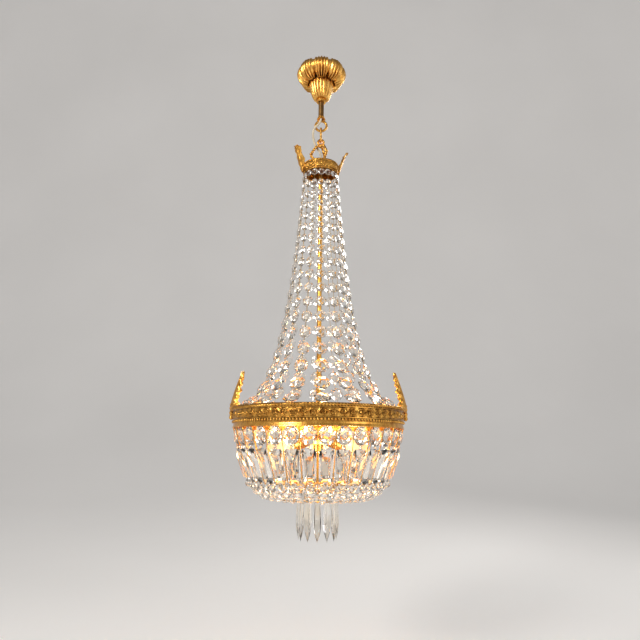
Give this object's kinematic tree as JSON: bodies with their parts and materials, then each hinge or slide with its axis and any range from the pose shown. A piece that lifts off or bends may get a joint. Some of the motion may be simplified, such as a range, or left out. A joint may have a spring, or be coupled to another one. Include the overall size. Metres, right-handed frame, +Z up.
{
  "type": "crystal chandelier",
  "caption": "Basket chandelier: gilt canopy, link and crown, a curtain of graded crystal beads, an embossed band with a crystal bowl, lamps and hanging prisms.",
  "frame": {"origin": "centre of the ceiling bar's top face, which lies on the ceiling", "axes": "+Z up out of that face, -Y towards the front, the object hangs below z = 0"},
  "size_m": [0.369, 0.3552, 1.0648],
  "materials": {
    "gilt_brass": "old polished gilding with dark hollows",
    "lampholder_brass": "satin gilt cover",
    "pin_wire": "drawn wire",
    "plated_steel": "zinc plated",
    "cut_crystal": "clear cut crystal, polished facets",
    "lit_bulb": "warm frosted globe, lit",
    "white_plastic": "moulded plastic",
    "ivory_sheath": "ivory flexible sheath"
  },
  "bodies": {
    "ceiling_fixing": {"ceiling_bar": "plated_steel", "threaded_nipple": "plated_steel", "nipple_locknut": "plated_steel", "terminal_block": "white_plastic", "stem_tube": "gilt_brass", "stem_ferrule": "gilt_brass", "suspension_ring": "gilt_brass", "cable_upper": "ivory_sheath"},
    "canopy": {"canopy": "gilt_brass", "canopy_collar": "gilt_brass", "collar_screw": "plated_steel"},
    "link": {"hanging_link": "gilt_brass"},
    "icicle_01_body": {"icicle_01": "cut_crystal"},
    "icicle_02_body": {"icicle_02": "cut_crystal"},
    "icicle_03_body": {"icicle_03": "cut_crystal"},
    "icicle_04_body": {"icicle_04": "cut_crystal"},
    "icicle_05_body": {"icicle_05": "cut_crystal"},
    "icicle_06_body": {"icicle_06": "cut_crystal"},
    "icicle_07_body": {"icicle_07": "cut_crystal"},
    "icicle_08_body": {"icicle_08": "cut_crystal"},
    "icicle_09_body": {"icicle_09": "cut_crystal"},
    "icicle_10_body": {"icicle_10": "cut_crystal"},
    "icicle_11_body": {"icicle_11": "cut_crystal"},
    "icicle_12_body": {"icicle_12": "cut_crystal"},
    "bulb_1_body": {"bulb_1": "lit_bulb"},
    "bulb_2_body": {"bulb_2": "lit_bulb"},
    "bulb_3_body": {"bulb_3": "lit_bulb"},
    "frame": {"band_leaves": "gilt_brass", "band_spider": "gilt_brass", "bead_strands_1": "cut_crystal", "bead_strands_2": "cut_crystal", "bead_strands_3": "cut_crystal", "bead_strands_4": "cut_crystal", "bead_strands_5": "cut_crystal", "bead_strands_6": "cut_crystal", "bottom_finial": "gilt_brass", "bottom_plate": "gilt_brass", "bowl_festoons": "cut_crystal", "bowl_octagons": "cut_crystal", "bowl_prisms": "cut_crystal", "bowl_straps": "gilt_brass", "cable_bushing": "white_plastic", "cable_lower": "ivory_sheath", "central_rod": "gilt_brass", "crown_hoop": "gilt_brass", "crown_leaves": "gilt_brass", "crown_plate": "gilt_brass", "icicle_ring": "gilt_brass", "lamp_hub": "gilt_brass", "lampholders": "lampholder_brass", "lower_band": "gilt_brass", "rod_cable": "ivory_sheath", "rod_nuts": "plated_steel", "seam_screw": "gilt_brass", "strand_pins": "pin_wire", "wire_hoops": "gilt_brass", "yoke_apex": "gilt_brass", "yoke_arm_back": "gilt_brass", "yoke_arm_front": "gilt_brass", "yoke_arm_left": "gilt_brass"}
  },
  "joints": [
    {"name": "canopy_slide", "type": "slide", "parent": "ceiling_fixing", "child": "canopy", "axis": [0, 0, -1], "range_m": [0, 0.037]},
    {"name": "link_swing", "type": "hinge", "parent": "ceiling_fixing", "child": "link", "pos_m": [0, 0, -0.16945], "axis": [1, 0, 0], "range_deg": [-25, 25], "deforming": ["cable_upper"]},
    {"name": "frame_swing", "type": "hinge", "parent": "link", "child": "frame", "pos_m": [0, 0, -0.1973], "axis": [0, 1, 0], "range_deg": [-25, 25], "deforming": ["cable_lower"]},
    {"name": "icicle_01_swing", "type": "hinge", "parent": "frame", "child": "icicle_01_body", "pos_m": [0.0375, 0, -0.966], "axis": [0, -1, 0], "range_deg": [-4, 20]},
    {"name": "icicle_02_swing", "type": "hinge", "parent": "frame", "child": "icicle_02_body", "pos_m": [0.03248, 0.01875, -0.966], "axis": [0.5, -0.866, 0], "range_deg": [-4, 20]},
    {"name": "icicle_03_swing", "type": "hinge", "parent": "frame", "child": "icicle_03_body", "pos_m": [0.01875, 0.03248, -0.966], "axis": [0.866, -0.5, 0], "range_deg": [-4, 20]},
    {"name": "icicle_04_swing", "type": "hinge", "parent": "frame", "child": "icicle_04_body", "pos_m": [0, 0.0375, -0.966], "axis": [1, 0, 0], "range_deg": [-4, 20]},
    {"name": "icicle_05_swing", "type": "hinge", "parent": "frame", "child": "icicle_05_body", "pos_m": [-0.01875, 0.03248, -0.966], "axis": [0.866, 0.5, 0], "range_deg": [-4, 20]},
    {"name": "icicle_06_swing", "type": "hinge", "parent": "frame", "child": "icicle_06_body", "pos_m": [-0.03248, 0.01875, -0.966], "axis": [0.5, 0.866, 0], "range_deg": [-4, 20]},
    {"name": "icicle_07_swing", "type": "hinge", "parent": "frame", "child": "icicle_07_body", "pos_m": [-0.0375, 0, -0.966], "axis": [0, 1, 0], "range_deg": [-4, 20]},
    {"name": "icicle_08_swing", "type": "hinge", "parent": "frame", "child": "icicle_08_body", "pos_m": [-0.03248, -0.01875, -0.966], "axis": [-0.5, 0.866, 0], "range_deg": [-4, 20]},
    {"name": "icicle_09_swing", "type": "hinge", "parent": "frame", "child": "icicle_09_body", "pos_m": [-0.01875, -0.03248, -0.966], "axis": [-0.866, 0.5, 0], "range_deg": [-4, 20]},
    {"name": "icicle_10_swing", "type": "hinge", "parent": "frame", "child": "icicle_10_body", "pos_m": [0, -0.0375, -0.966], "axis": [-1, 0, 0], "range_deg": [-4, 20]},
    {"name": "icicle_11_swing", "type": "hinge", "parent": "frame", "child": "icicle_11_body", "pos_m": [0.01875, -0.03248, -0.966], "axis": [-0.866, -0.5, 0], "range_deg": [-4, 20]},
    {"name": "icicle_12_swing", "type": "hinge", "parent": "frame", "child": "icicle_12_body", "pos_m": [0.03248, -0.01875, -0.966], "axis": [-0.5, -0.866, 0], "range_deg": [-4, 20]},
    {"name": "bulb_1_unscrew", "type": "slide", "parent": "frame", "child": "bulb_1_body", "axis": [0, 0.9397, -0.342], "range_m": [0, 0.026]},
    {"name": "bulb_2_unscrew", "type": "slide", "parent": "frame", "child": "bulb_2_body", "axis": [-0.8138, -0.4698, -0.342], "range_m": [0, 0.026]},
    {"name": "bulb_3_unscrew", "type": "slide", "parent": "frame", "child": "bulb_3_body", "axis": [0.8138, -0.4698, -0.342], "range_m": [0, 0.026]}
  ]
}
